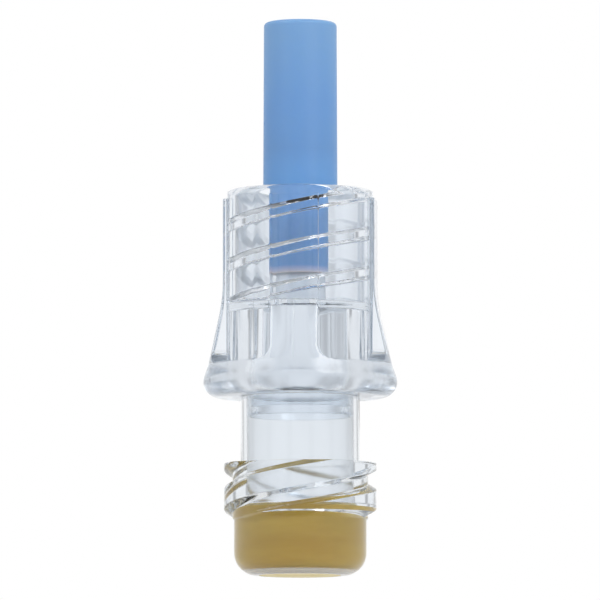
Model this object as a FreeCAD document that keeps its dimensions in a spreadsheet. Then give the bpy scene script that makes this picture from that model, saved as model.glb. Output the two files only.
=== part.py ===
"""Needle-free connector: a split-septum injection site with a male luer lock and its tip protector.

Frame: the flat septum end stands on z = 0, the axis is +Z, and every length is in millimetres.
"""
import FreeCAD, Part
import math
import os

import Sketcher

DOCUMENT = "needle_free_connector"
doc = FreeCAD.newDocument(DOCUMENT)

# Driving dimensions: alias, value, what it measures
DRIVING = [
    ("septum_radius", 3.75, "rubber septum, where the cup holds it"),
    ("septum_height", 4.6, "septum from its wiped face to its inner face"),
    ("septum_edge", 0.2, "chamfer round the septum's inner face"),
    ("swage_reach", 1.05, "how far the swaged rim reaches over the septum"),
    ("slit_length", 3.0, "slit through the septum"),
    ("slit_gap", 0.06, "width that the slit is drawn with"),
    ("seat_gap", 0.03, "clearance of septum in cup and spigot in neck"),
    ("cup_wall", 0.57, "housing wall round the septum"),
    ("thread_step", 0.1, "root of the outer thread above the plain cup below it"),
    ("swage_wall", 0.32, "rim that is swaged over the septum"),
    ("cup_corner", 1.5, "outer radius of the rolled cup corner"),
    ("cup_height", 7.35, "cup and thread up to the shoulder"),
    ("neck_radius", 3.91, "outside of the neck"),
    ("neck_wall", 0.38, "wall of the neck"),
    ("housing_height", 11.73, "septum housing from end to end"),
    ("thread_lead", 5.2, "advance of one turn, the same on both threads"),
    ("crest_rise", 0.55, "outer thread above its root"),
    ("crest_width", 1.3, "flat crest of the outer thread"),
    ("crest_flank", 0.35, "each flank of the outer thread, along the axis"),
    ("crest_station", 5.0, "height of the outer thread's crest on the +X side"),
    ("thread_foot", 4.1, "lower end of the outer thread's crests"),
    ("foot_flank", 0.45, "slope that cuts the thread off below its foot, along the axis"),
    ("spigot_length", 1.3, "spigot of the luer body inside the neck"),
    ("flange_rise", 2.11, "flange from its underside to the ledge"),
    ("ledge_radius", 6.05, "flange at the ledge"),
    ("flange_foot", 6.75, "flange at its underside, before rounding"),
    ("flange_rounding", 1.0, "outer edge of the flange"),
    ("collar_height", 13.65, "luer body from the flange underside to the rim"),
    ("flat_distance", 4.8, "axis to the middle of each bowed collar side"),
    ("flat_bow", 9.9, "radius of each bowed collar side"),
    ("corner_radius", 5.17, "axis to the collar corners"),
    ("corner_blend", 1.2, "rounding where a side meets a corner"),
    ("rim_lip", 0.1, "rim left outside the bore, where its turned round starts"),
    ("rim_rounding", 0.88, "turned round of the collar rim"),
    ("land_rise", 0.2, "grip land above the collar side"),
    ("land_width", 3.1, "grip land across"),
    ("land_crown", 0.2, "land face to the round that trims its edges"),
    ("land_drop", 0.65, "collar rim down to the top of a land"),
    ("flare_rise", 4.3, "ledge up to where a land starts to flare"),
    ("flare_radius", 10.0, "curve where a land starts to flare"),
    ("pocket_corner", 1.0, "rounding of the pocket corners at the ledge"),
    ("collar_turn", -4.5, "turn of the collar sides about the axis, degrees"),
    ("cavity_depth", 7.64, "luer collar from the rim to its floor"),
    ("bore_radius", 4.25, "luer collar bore, at the thread root"),
    ("mouth_chamfer", 0.06, "lead-in at the collar rim"),
    ("ridge_rise", 0.65, "inner thread from the bore to its crest"),
    ("ridge_crest", 0.5, "flat crest of the inner thread"),
    ("ridge_root", 0.85, "root of the inner thread, along the axis"),
    ("ridge_station", 17.42, "height of the inner thread on the +X side, where it starts"),
    ("ridge_end", 0.05, "collar rim down to the end of the inner thread"),
    ("tip_rise", 1.72, "luer tip above the collar rim"),
    ("tip_radius", 1.965, "luer cone at its tip"),
    ("cone_slope", 0.03, "radius that the luer cone gains for each millimetre"),
    ("tip_edge", 0.15, "chamfer round the luer tip"),
    ("lumen_radius", 1.15, "flow channel in the luer cone"),
    ("web_wall", 0.35, "floor of the collar above the flow chamber"),
    ("chamber_radius", 3.2, "flow chamber above its lead-in"),
    ("chamber_draft", 0.1, "radius that the flow chamber loses on the way up"),
    ("lead_in_rise", 0.55, "lead-in at the mouth of the flow chamber, along the axis"),
    ("lead_in_flare", 0.18, "radius that the lead-in adds at the mouth"),
    ("cap_standoff", 2.0, "collar floor up to the mouth of the tip protector"),
    ("cap_length", 16.76, "tip protector from end to end"),
    ("cap_mouth_radius", 2.465, "tip protector at its mouth"),
    ("cap_end_radius", 2.4, "tip protector at its closed end"),
    ("cap_end_wall", 1.0, "closed end of the tip protector"),
    ("cap_gap", 0.02, "clearance of the tip protector on the luer cone"),
    ("cap_reach", 0.4, "tapered bore of the protector past the luer tip"),
    ("cap_edge", 0.25, "rounding of the protector's closed end"),
]
THREAD_STARTS = 2
GRIP_LANDS = 4
# How near an edge has to be to the place where it is looked for
TOLERANCE = 0.02

sheet = doc.addObject("Spreadsheet::Sheet", "Sizes")
for row, (alias, value, meaning) in enumerate(DRIVING, start=1):
    sheet.set(f"A{row}", alias)
    sheet.set(f"B{row}", str(value))
    sheet.set(f"C{row}", meaning)
    sheet.setAlias(f"B{row}", alias)
doc.recompute()


def formula(words):
    """Puts the sheet's name before each alias, so that a formula reads as plain words."""
    names = {alias for alias, _, _ in DRIVING}
    return " ".join(f"Sizes.{word}" if word in names else word for word in words.split())


def value_of(words):
    """Works a formula out from the sheet, for the first guess of a sketch or a test of place."""
    return float(sheet.evalExpression(formula(words)))


# Stations along the axis and radii that follow from the driving dimensions
FACE = "septum_radius - swage_reach"
POCKET = "septum_radius + seat_gap"
CUP = f"{POCKET} + cup_wall"
NECK_BORE = "neck_radius - neck_wall"
ROOT = f"{CUP} + thread_step"
CREST = f"{ROOT} + crest_rise"
FOOT_RUN = "foot_flank * crest_rise / ( crest_rise + thread_step )"
THREAD_START = f"thread_foot - {FOOT_RUN}"
SPIGOT = f"{NECK_BORE} - seat_gap"
SPIGOT_END = "housing_height - spigot_length"
LEDGE = "housing_height + flange_rise"
RIM = "housing_height + collar_height"
FLOOR = f"{RIM} - cavity_depth"
TIP = f"{RIM} + tip_rise"
LAND = "flat_distance + land_rise"
LAND_TOP = f"{RIM} - land_drop"
FLARE = f"{LEDGE} + flare_rise"
CAP_MOUTH = f"{FLOOR} + cap_standoff"
CAP_END = f"{CAP_MOUTH} + cap_length"
AXIS = "0"


def new_body(label):
    """Adds an empty body whose label names the piece and its file."""
    body = doc.addObject("PartDesign::Body", label)
    body.Label = label
    return body


def origin_part(body, role):
    """Finds one of the body's own origin planes or axes."""
    return next(part for part in body.Origin.OriginFeatures if part.Role == role)


def new_sketch(body, name, role, offset=None):
    """Attaches a sketch to an origin plane, moved along its normal by a formula."""
    sketch = body.newObject("Sketcher::SketchObject", name)
    sketch.AttachmentSupport = [(origin_part(body, role), "")]
    sketch.MapMode = "FlatFace"
    if offset:
        sketch.setExpression("AttachmentOffset.Base.z", formula(offset))
    return sketch


def hold(sketch, edge, end, across, words, name):
    """Holds one coordinate of a point by a formula, measured from the sketch's origin."""
    if words == AXIS:
        axis = -2 if across else -1
        sketch.addConstraint(Sketcher.Constraint("PointOnObject", edge, end, axis))
        return
    kind = "DistanceX" if across else "DistanceY"
    behind = words.startswith("- ")
    size = words[2:] if behind else words
    points = (edge, end, -1, 1) if behind else (-1, 1, edge, end)
    index = sketch.addConstraint(Sketcher.Constraint(kind, *points, value_of(size)))
    sketch.renameConstraint(index, name)
    sketch.setExpression(f"Constraints.{name}", formula(size))


def signed_value(words):
    """Works out a coordinate that may lie behind the origin."""
    return -value_of(words[2:]) if words.startswith("- ") else value_of(words)


def hollow_quarter(start, end):
    """Makes the quarter circle that bends into a shape on the way from start to end."""
    way = end - start
    centre = (start + end) / 2 + FreeCAD.Vector(way.y, -way.x, 0) / 2
    circle = Part.Circle(centre, FreeCAD.Vector(0, 0, 1), centre.distanceToPoint(start))
    return Part.ArcOfCircle(circle, circle.parameter(end), circle.parameter(start))


def polygon(body, name, role, corners, offset=None, hollows=None):
    """Draws a closed outline whose corners, and hollow quarter rounds, are held by formulas."""
    hollows = hollows or {}
    sketch = new_sketch(body, name, role, offset)
    points = [FreeCAD.Vector(signed_value(x), signed_value(y), 0) for x, y in corners]
    count = len(points)
    ends = [(2, 1) if index in hollows else (1, 2) for index in range(count)]
    for index, point in enumerate(points):
        following = points[(index + 1) % count]
        shape = hollow_quarter if index in hollows else Part.LineSegment
        sketch.addGeometry(shape(point, following))
    for index, (x, y) in enumerate(corners):
        following = (index + 1) % count
        first, last = ends[index]
        joint = (index, last, following, ends[following][0])
        sketch.addConstraint(Sketcher.Constraint("Coincident", *joint))
        hold(sketch, index, first, True, x, f"across_{index}")
        hold(sketch, index, first, False, y, f"height_{index}")
    for index, radius in hollows.items():
        held = sketch.addConstraint(Sketcher.Constraint("Radius", index, value_of(radius)))
        sketch.renameConstraint(held, f"round_{index}")
        sketch.setExpression(f"Constraints.round_{index}", formula(radius))
    return sketch


def turned(body, name, corners, kind="PartDesign::Revolution", hollows=None):
    """Turns an outline about the piece's axis, as a solid or as a cut."""
    sketch = polygon(body, f"{name}_outline", "XZ_Plane", corners, hollows=hollows)
    feature = body.newObject(kind, name)
    feature.Profile = sketch
    feature.ReferenceAxis = (sketch, ["V_Axis"])
    feature.Angle = 360
    doc.recompute()
    return feature


def bored(body, name, corners, hollows=None):
    """Turns an outline about the axis and takes it away, and makes sure that it cut."""
    before = body.Shape.Volume
    feature = turned(body, name, corners, "PartDesign::Groove", hollows)
    if not body.Shape.Volume < before:
        raise RuntimeError(f"{name} cuts nothing")
    return feature


def edges_where(shape, test):
    """Lists the names of the edges that pass a test of place."""
    return [f"Edge{number}" for number, edge in enumerate(shape.Edges, start=1) if test(edge)]


def rounded(body, name, test, radius):
    """Rounds every edge of the piece that passes the test."""
    base = body.Tip
    names = edges_where(base.Shape, test)
    if not names:
        raise RuntimeError(f"{name} finds no edge")
    feature = body.newObject("PartDesign::Fillet", name)
    feature.Base = (base, names)
    feature.setExpression("Radius", formula(radius))
    doc.recompute()
    return feature


def ring_at(radius, height):
    """Makes a test for edges that lie on a circle about the axis."""
    wanted_radius = value_of(radius)
    wanted_height = value_of(height)

    def on_ring(edge):
        middle = edge.valueAt((edge.FirstParameter + edge.LastParameter) / 2)
        off_radius = abs(math.hypot(middle.x, middle.y) - wanted_radius)
        return off_radius < TOLERANCE and abs(middle.z - wanted_height) < TOLERANCE

    return on_ring


def level_at(edge, height):
    """Tells whether an edge lies in the level plane at a height."""
    ends = [edge.valueAt(edge.FirstParameter).z, edge.valueAt(edge.LastParameter).z]
    return all(abs(end - height) < TOLERANCE for end in ends)


def thread(body, name, corners, rise):
    """Sweeps a ridge along a right-hand helix and repeats it for each start."""
    sketch = polygon(body, f"{name}_section", "XZ_Plane", corners)
    ridge = body.newObject("PartDesign::AdditiveHelix", name)
    ridge.Profile = sketch
    ridge.ReferenceAxis = (sketch, ["V_Axis"])
    ridge.Mode = "pitch-height-angle"
    ridge.setExpression("Pitch", formula("thread_lead"))
    ridge.setExpression("Height", formula(rise))
    ridge.Angle = 0
    ridge.LeftHanded = False
    ridge.Reversed = False
    doc.recompute()
    return around(body, f"{name}_starts", [ridge], THREAD_STARTS)


def around(body, name, features, count):
    """Repeats features evenly round the piece's axis."""
    pattern = body.newObject("PartDesign::PolarPattern", name)
    pattern.Originals = features
    pattern.Axis = (origin_part(body, "Z_Axis"), [""])
    pattern.Angle = 360
    pattern.Occurrences = count
    body.Tip = pattern
    doc.recompute()
    return pattern


def build_septum():
    """Rubber disc with a pierced slit, its rolled edge lying in the cup's corner."""
    body = new_body("septum")
    swage = "swage_wall + seat_gap"
    turned(body, "disc", [
        (AXIS, AXIS),
        (f"{FACE} - seat_gap", AXIS),
        (f"{FACE} - seat_gap", swage),
        ("septum_radius", swage),
        ("septum_radius", "septum_height - septum_edge"),
        ("septum_radius - septum_edge", "septum_height"),
        (AXIS, "septum_height"),
    ])
    rounded(body, "rolled_edge", ring_at("septum_radius", swage), "cup_corner - cup_wall")
    slit = polygon(body, "slit_outline", "XY_Plane", [
        ("- slit_length / 2", "- slit_gap / 2"),
        ("slit_length / 2", "- slit_gap / 2"),
        ("slit_length / 2", "slit_gap / 2"),
        ("- slit_length / 2", "slit_gap / 2"),
    ])
    cut = body.newObject("PartDesign::Pocket", "slit")
    cut.Profile = slit
    cut.Type = "ThroughAll"
    cut.Reversed = True
    doc.recompute()
    return body


def turned_body(label, name, corners):
    """Makes a body that is one turned solid."""
    body = new_body(label)
    turned(body, name, corners)
    return body


def combined(kind, label, pieces):
    """Joins or intersects solids, or cuts the second from the first."""
    result = doc.addObject(kind, label)
    result.Label = label
    if kind == "Part::Cut":
        result.Base, result.Tool = pieces
    else:
        result.Shapes = pieces
    result.Refine = False
    doc.recompute()
    return result


def build_outer_thread():
    """Double-start ridges on a core that hides in the cup wall, trimmed to the thread's band."""
    core = f"{CUP} - cup_wall / 2"
    low = "crest_station - thread_lead - crest_width / 2"
    high = "crest_station - thread_lead + crest_width / 2"
    top = "cup_height + crest_width"
    rod = turned_body("thread_rod", "rod", [
        (AXIS, "- thread_lead"),
        (core, "- thread_lead"),
        (core, top),
        (AXIS, top),
    ])
    buried = f"{core} - crest_flank"
    thread(rod, "crest", [
        (buried, f"{low} - crest_flank"),
        (ROOT, f"{low} - crest_flank"),
        (CREST, low),
        (CREST, high),
        (ROOT, f"{high} + crest_flank"),
        (buried, f"{high} + crest_flank"),
    ], "cup_height - crest_station + thread_lead + crest_width")
    outside = f"{CREST} + crest_rise"
    band = turned_body("thread_band", "band", [
        (AXIS, THREAD_START),
        (ROOT, THREAD_START),
        (outside, f"thread_foot + {FOOT_RUN}"),
        (outside, "cup_height"),
        (AXIS, "cup_height"),
    ])
    return combined("Part::MultiCommon", "outer_thread", [rod, band])


def build_housing():
    """Clear cup swaged over the septum, with an outer double-start thread and a neck."""
    cup = turned_body("cup_blank", "cup_and_neck", [
        (AXIS, AXIS),
        (CUP, AXIS),
        (CUP, "thread_foot - foot_flank"),
        (ROOT, THREAD_START),
        (ROOT, "cup_height"),
        ("neck_radius", "cup_height"),
        ("neck_radius", "housing_height"),
        (AXIS, "housing_height"),
    ])
    rounded(cup, "rolled_corner", ring_at(CUP, AXIS), "cup_corner")
    pocket_top = "septum_height + seat_gap"
    bore = turned_body("housing_bore", "bore", [
        (AXIS, "- swage_wall"),
        (FACE, "- swage_wall"),
        (FACE, "swage_wall"),
        (POCKET, "swage_wall"),
        (POCKET, pocket_top),
        (NECK_BORE, pocket_top),
        (NECK_BORE, "housing_height + swage_wall"),
        (AXIS, "housing_height + swage_wall"),
    ])
    rounded(bore, "pocket_corner", ring_at(POCKET, "swage_wall"), "cup_corner - cup_wall")
    outside = combined("Part::MultiFuse", "threaded_cup", [cup, build_outer_thread()])
    return combined("Part::Cut", "septum_housing", [outside, bore])


def collar_section(body):
    """Draws the collar's section: four bowed sides that meet in rounded corners."""
    sketch = new_sketch(body, "collar_section", "XY_Plane", f"{LEDGE} - flange_rise / 2")
    bow = value_of("flat_bow")
    centre = bow - value_of("flat_distance")
    corner = value_of("corner_radius")
    meeting = math.acos((bow ** 2 - corner ** 2 - centre ** 2) / (2 * corner * centre))
    opening = math.asin(corner * math.sin(meeting) / bow)
    for quarter in range(GRIP_LANDS):
        facing = quarter * math.pi / 2
        middle = FreeCAD.Vector(-centre * math.cos(facing), -centre * math.sin(facing), 0)
        side = Part.Circle(middle, FreeCAD.Vector(0, 0, 1), bow)
        sketch.addGeometry(Part.ArcOfCircle(side, facing - opening, facing + opening))
        rim = Part.Circle(FreeCAD.Vector(), FreeCAD.Vector(0, 0, 1), corner)
        following = facing + math.pi / 2
        sketch.addGeometry(Part.ArcOfCircle(rim, facing + meeting, following - meeting))
    count = 2 * GRIP_LANDS
    for index in range(count):
        sketch.addConstraint(Sketcher.Constraint("Coincident", index, 2, (index + 1) % count, 1))
    for quarter in range(GRIP_LANDS):
        side = 2 * quarter
        rim = side + 1
        axis = -2 if quarter % 2 else -1
        sketch.addConstraint(Sketcher.Constraint("PointOnObject", side, 3, axis))
        sketch.addConstraint(Sketcher.Constraint("Coincident", rim, 3, -1, 1))
        for edge, words, name in [(side, "flat_bow", "bow"), (rim, "corner_radius", "corner")]:
            index = sketch.addConstraint(Sketcher.Constraint("Radius", edge, value_of(words)))
            sketch.renameConstraint(index, f"{name}_{quarter}")
            sketch.setExpression(f"Constraints.{name}_{quarter}", formula(words))
        kind = "DistanceY" if quarter % 2 else "DistanceX"
        points = (side, 3, -1, 1) if quarter < 2 else (-1, 1, side, 3)
        index = sketch.addConstraint(Sketcher.Constraint(kind, *points, centre))
        sketch.renameConstraint(index, f"centre_{quarter}")
        sketch.setExpression(f"Constraints.centre_{quarter}", formula("flat_bow - flat_distance"))
    return sketch


def build_collar(body):
    """Raises the collar's rounded-square wall as a solid block."""
    wall = body.newObject("PartDesign::Pad", "collar_wall")
    wall.Profile = collar_section(body)
    wall.setExpression("Length", formula("collar_height - flange_rise / 2"))
    doc.recompute()

    def upright(edge):
        along = edge.tangentAt(edge.FirstParameter)
        return abs(abs(along.z) - 1) < TOLERANCE

    rounded(body, "collar_corners", upright, "corner_blend")
    lip = "bore_radius + rim_lip"
    bored(body, "rim_round", [
        (lip, RIM),
        (f"{lip} + rim_rounding", f"{RIM} - rim_rounding"),
        (f"{lip} + rim_rounding + corner_blend", f"{RIM} - rim_rounding"),
        (f"{lip} + rim_rounding + corner_blend", f"{RIM} + rim_rounding"),
        (lip, f"{RIM} + rim_rounding"),
    ], {0: "rim_rounding"})


def build_lands(body):
    """Raises one grip land that flares out to the ledge, and repeats it on every side."""
    half = "land_width / 2"
    foot = f"{half} + pocket_corner"
    bend = f"{LEDGE} + pocket_corner"
    front = polygon(body, "land_front", "YZ_Plane", [
        (f"- ( {foot} )", LEDGE),
        (foot, LEDGE),
        (half, bend),
        (half, LAND_TOP),
        (f"- {half}", LAND_TOP),
        (f"- {half}", bend),
    ], "bore_radius", {1: "pocket_corner", 5: "pocket_corner"})
    land = body.newObject("PartDesign::Pad", "land")
    land.Profile = front
    land.setExpression("Length", formula("flange_foot - bore_radius"))
    doc.recompute()
    side = polygon(body, "land_side", "XZ_Plane", [
        (LAND, f"{RIM} + land_drop"),
        (LAND, FLARE),
        ("ledge_radius", LEDGE),
        ("flange_foot + land_width", LEDGE),
        ("flange_foot + land_width", f"{RIM} + land_drop"),
    ])
    trim = body.newObject("PartDesign::Pocket", "land_flare")
    trim.Profile = side
    trim.Type = "Length"
    trim.Midplane = True
    trim.setExpression("Length", formula("land_width * 2 + pocket_corner * 2"))
    doc.recompute()
    around(body, "lands", [land, trim], GRIP_LANDS)
    flare = value_of(FLARE)
    rounded(body, "flare_curve", lambda edge: level_at(edge, flare), "flare_radius")
    outside = "flange_foot + land_width"
    bored(body, "land_crowns", [
        ("ledge_radius", LEDGE),
        (f"{LAND} + land_crown", FLARE),
        (f"{LAND} + land_crown", f"{RIM} + land_drop"),
        (outside, f"{RIM} + land_drop"),
        (outside, LEDGE),
    ])


def build_flange(body):
    """Adds the round flange below the ledge, with the spigot that enters the neck."""
    turned(body, "flange", [
        (AXIS, SPIGOT_END),
        (SPIGOT, SPIGOT_END),
        (SPIGOT, "housing_height"),
        ("flange_foot", "housing_height"),
        ("ledge_radius", LEDGE),
        (AXIS, LEDGE),
    ])
    rounded(body, "flange_edge", ring_at("flange_foot", "housing_height"), "flange_rounding")


def build_luer(body):
    """Cuts the collar's bore round the luer cone, then the lumen and the flow chamber."""
    bored(body, "collar_bore", [
        (AXIS, FLOOR),
        ("bore_radius", FLOOR),
        ("bore_radius", f"{RIM} - mouth_chamfer"),
        ("bore_radius + mouth_chamfer", RIM),
        ("bore_radius + mouth_chamfer", TIP),
        (AXIS, TIP),
    ])
    foot = "tip_radius + ( tip_rise + cavity_depth ) * cone_slope"
    turned(body, "luer_cone", [
        (AXIS, f"{FLOOR} - web_wall / 2"),
        (foot, f"{FLOOR} - web_wall / 2"),
        (foot, FLOOR),
        ("tip_radius + tip_edge * cone_slope", f"{TIP} - tip_edge"),
        ("tip_radius - tip_edge", TIP),
        (AXIS, TIP),
    ])
    chamber_top = f"{FLOOR} - web_wall"
    bored(body, "flow_path", [
        (AXIS, SPIGOT_END),
        ("chamber_radius + lead_in_flare", SPIGOT_END),
        ("chamber_radius", f"{SPIGOT_END} + lead_in_rise"),
        ("chamber_radius - chamber_draft", chamber_top),
        ("lumen_radius", chamber_top),
        ("lumen_radius", f"{TIP} + tip_edge"),
        (AXIS, f"{TIP} + tip_edge"),
    ])
    crest = "bore_radius - ridge_rise"
    root = "bore_radius + mouth_chamfer"
    thread(body, "ridge", [
        (root, "ridge_station - ridge_root / 2"),
        (root, "ridge_station + ridge_root / 2"),
        (crest, "ridge_station + ridge_crest / 2"),
        (crest, "ridge_station - ridge_crest / 2"),
    ], f"{RIM} - ridge_end - ridge_root / 2 - ridge_station")


def build_luer_body():
    """Clear moulding: luer cone in a threaded collar, flange, flow chamber and spigot."""
    body = new_body("luer_lock_body")
    build_collar(body)
    build_lands(body)
    build_flange(body)
    build_luer(body)
    body.setExpression("Placement.Rotation.Angle", formula("collar_turn"))
    doc.recompute()
    return body


def build_protector():
    """Blue sleeve with a closed end, pushed over the luer cone."""
    body = new_body("tip_protector")
    inner = "tip_radius + cap_gap"
    reach = f"{TIP} + cap_reach"
    turned(body, "sleeve", [
        (f"{inner} + ( tip_rise + cavity_depth - cap_standoff ) * cone_slope", CAP_MOUTH),
        ("cap_mouth_radius", CAP_MOUTH),
        ("cap_end_radius", CAP_END),
        (AXIS, CAP_END),
        (AXIS, f"{CAP_END} - cap_end_wall"),
        (f"{inner} - cap_reach * cone_slope", f"{CAP_END} - cap_end_wall"),
        (f"{inner} - cap_reach * cone_slope", reach),
    ])
    rounded(body, "closed_end", ring_at("cap_end_radius", CAP_END), "cap_edge")
    return body


PIECES = [build_septum(), build_housing(), build_luer_body(), build_protector()]
doc.recompute()
for thing in doc.Objects:
    if {"Invalid", "Error"} & set(thing.State):
        raise RuntimeError(f"{thing.Name}: {thing.State}")
os.makedirs("parts", exist_ok=True)
for piece in PIECES:
    if piece.Shape.isNull() or not piece.Shape.isValid():
        raise RuntimeError(f"{piece.Label} has no valid shape")
    piece.Shape.exportStep(f"parts/{piece.Label}.step")
    print(piece.Label, len(piece.Shape.Solids), round(piece.Shape.Volume, 3), piece.Shape.BoundBox)
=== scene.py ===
"""Looks of the needle-free connector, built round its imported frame.

The row frame is in metres: the septum end stands on z = 0, the axis is +Z, and -Y faces the camera.
Sizes are written in millimetres, as on the part's drawing, and Skin turns them into metres.
"""
from __future__ import annotations

import logging
import math
from dataclasses import dataclass
from enum import Enum

import bpy
import numpy as np
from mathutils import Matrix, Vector

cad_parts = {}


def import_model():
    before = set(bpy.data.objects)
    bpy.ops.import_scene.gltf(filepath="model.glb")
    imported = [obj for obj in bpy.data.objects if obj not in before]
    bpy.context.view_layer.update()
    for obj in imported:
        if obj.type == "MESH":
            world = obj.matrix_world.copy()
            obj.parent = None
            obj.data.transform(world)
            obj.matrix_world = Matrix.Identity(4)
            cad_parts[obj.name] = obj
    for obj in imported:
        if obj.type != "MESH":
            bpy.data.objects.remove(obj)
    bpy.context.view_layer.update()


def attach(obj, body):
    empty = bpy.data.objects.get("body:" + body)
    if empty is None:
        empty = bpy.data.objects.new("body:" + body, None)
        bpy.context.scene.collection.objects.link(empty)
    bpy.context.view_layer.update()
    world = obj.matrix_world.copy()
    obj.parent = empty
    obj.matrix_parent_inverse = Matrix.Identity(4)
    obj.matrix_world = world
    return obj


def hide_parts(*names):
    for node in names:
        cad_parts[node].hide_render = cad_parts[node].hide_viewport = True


LOG = logging.getLogger("connector")
MM = 0.001
TURN = -4.5
FLANGE_UNDERSIDE = 11.73
LEDGE = 13.84
RIM = 25.38
FLOOR = 17.74
TIP = 27.1
THREAD_LEAD = 5.2
THREAD_PITCH = THREAD_LEAD / 2


class Piece(Enum):
    """The dressed pieces, each with the body that it rides on and a slot name."""

    SEPTUM = ("rubber_septum", "septum", "connector", "septum_rubber")
    HOUSING = ("threaded_cup", "septum_housing", "connector", "clear_housing")
    COLLAR = ("luer_collar", "luer_lock_body", "connector", "clear_body")
    PROTECTOR = ("protector_sleeve", "tip_protector", "protector", "blue_protector")

    def __init__(self, title: str, node: str, body: str, slot: str) -> None:
        self.title = title
        self.node = node
        self.body = body
        self.slot = slot


def rounded_path(corners: list[tuple[float, float, float]], steps: int = 5) -> np.ndarray:
    """Runs a path through corners and bends it round each one.

    A corner is replaced by the arc of its radius that touches both runs. The arc's centre lies on the
    line that halves the corner, and a point on it is the centre plus both end radii, each weighted by
    the sine of its share of the arc's angle over the sine of the whole.

    Args:
        corners: radius, height and arc radius of each corner, in millimetres.
        steps: points that a rounded corner gets.

    Returns:
        One row of radius and height for each point.
    """
    points = np.array([corner[:2] for corner in corners], float)
    share = np.linspace(0.0, 1.0, steps)[:, None]
    runs: list[np.ndarray] = []
    for index, (_, _, bend) in enumerate(corners):
        inside = 0 < index < len(corners) - 1
        if bend <= 0 or not inside:
            runs.append(points[index][None])
            continue
        back = points[index - 1] - points[index]
        ahead = points[index + 1] - points[index]
        back = back / np.linalg.norm(back)
        ahead = ahead / np.linalg.norm(ahead)
        half = math.acos(float(np.clip(back @ ahead, -1.0, 1.0))) / 2
        halving = (back + ahead) / np.linalg.norm(back + ahead)
        centre = points[index] + halving * bend / math.sin(half)
        first = points[index] + back * bend / math.tan(half) - centre
        last = points[index] + ahead * bend / math.tan(half) - centre
        whole = math.pi - 2 * half
        arc = np.sin((1 - share) * whole) * first + np.sin(share * whole) * last
        runs.append(centre + arc / math.sin(whole))
    return np.concatenate(runs)


def smooth(share: np.ndarray) -> np.ndarray:
    """Eases a share from 0 to 1: three times its square less twice its cube."""
    held = np.clip(share, 0.0, 1.0)
    return held * held * (3 - 2 * held)


def soft_least(first: np.ndarray, second: np.ndarray, blend: float) -> np.ndarray:
    """Takes the lesser of two values, rounded off where they are within blend of each other."""
    near = np.clip(blend - np.abs(first - second), 0.0, None) / blend
    return np.minimum(first, second) - near * near * blend / 4


def around(radius: np.ndarray, height: np.ndarray, angle: np.ndarray) -> np.ndarray:
    """Places radii and heights round the axis at angles in radians, as an array of points."""
    radius, height, angle = np.broadcast_arrays(radius, height, angle)
    return np.stack([radius * np.cos(angle), radius * np.sin(angle), height], axis=-1)


@dataclass
class Skin:
    """A closed surface given by rings of points, row by row, every ring with the same count.

    Attributes:
        rings: points in millimetres, shaped rows by columns by 3; each ring closes on itself.
        looped: whether the last ring joins the first, as on a tube bent into a loop.
            Otherwise each end is closed by a pole in the middle of its ring.
    """

    rings: np.ndarray
    looped: bool = True

    def faces(self) -> tuple[np.ndarray, np.ndarray]:
        """Lists the four-sided faces between rings and the triangles round the poles."""
        rows, columns = self.rings.shape[:2]
        index = np.arange(rows * columns).reshape(rows, columns)
        beside = np.roll(index, -1, axis=1)
        if self.looped:
            quads = np.stack([index, beside, np.roll(beside, -1, 0), np.roll(index, -1, 0)], -1)
            return quads.reshape(-1, 4), np.empty((0, 3), int)
        quads = np.stack([index[:-1], beside[:-1], beside[1:], index[1:]], -1).reshape(-1, 4)
        first = np.full(columns, rows * columns)
        last = first + 1
        foot = np.stack([first, beside[0], index[0]], -1)
        head = np.stack([last, index[-1], beside[-1]], -1)
        return quads, np.concatenate([foot, head])

    def points(self) -> np.ndarray:
        """Lists the points in metres, with the two poles last where the surface has them."""
        flat = self.rings.reshape(-1, 3)
        if not self.looped:
            flat = np.concatenate([flat, self.rings[0].mean(0)[None], self.rings[-1].mean(0)[None]])
        return flat * MM

    def mesh(self, name: str) -> bpy.types.Mesh:
        """Makes the mesh, its faces pointing outwards and its normals weighted by face area.

        The volume is the sum, over the triangles, of a sixth of the triple product of their corners;
        where it is negative the faces are turned round. A point's normal is the sum of its triangles'
        area vectors, so a flat stays flat up to a fine rounded edge.

        Args:
            name: the mesh's name.

        Returns:
            The mesh, in metres.
        """
        points = self.points()
        quads, triangles = self.faces()
        split = np.concatenate([quads[:, [0, 1, 2]], quads[:, [0, 2, 3]], triangles])
        corners = points[split]
        areas = np.cross(corners[:, 1] - corners[:, 0], corners[:, 2] - corners[:, 0]) / 2
        if np.einsum("ij,ij->", corners[:, 0], areas) < 0:
            quads, triangles, areas = quads[:, ::-1], triangles[:, ::-1], -areas
        normals = np.zeros_like(points)
        for corner in range(3):
            np.add.at(normals, split[:, corner], areas)
        lengths = np.linalg.norm(normals, axis=1, keepdims=True)
        normals = normals / np.maximum(lengths, 1e-18)
        made = bpy.data.meshes.new(name)
        made.from_pydata(points.tolist(), [], quads.tolist() + triangles.tolist())
        made.polygons.foreach_set("use_smooth", np.ones(len(made.polygons), bool))
        made.normals_split_custom_set_from_vertices(normals.tolist())
        made.update()
        return made


Colour = tuple[float, float, float]
Source = bpy.types.NodeSocket | float | tuple[float, ...]


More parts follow.
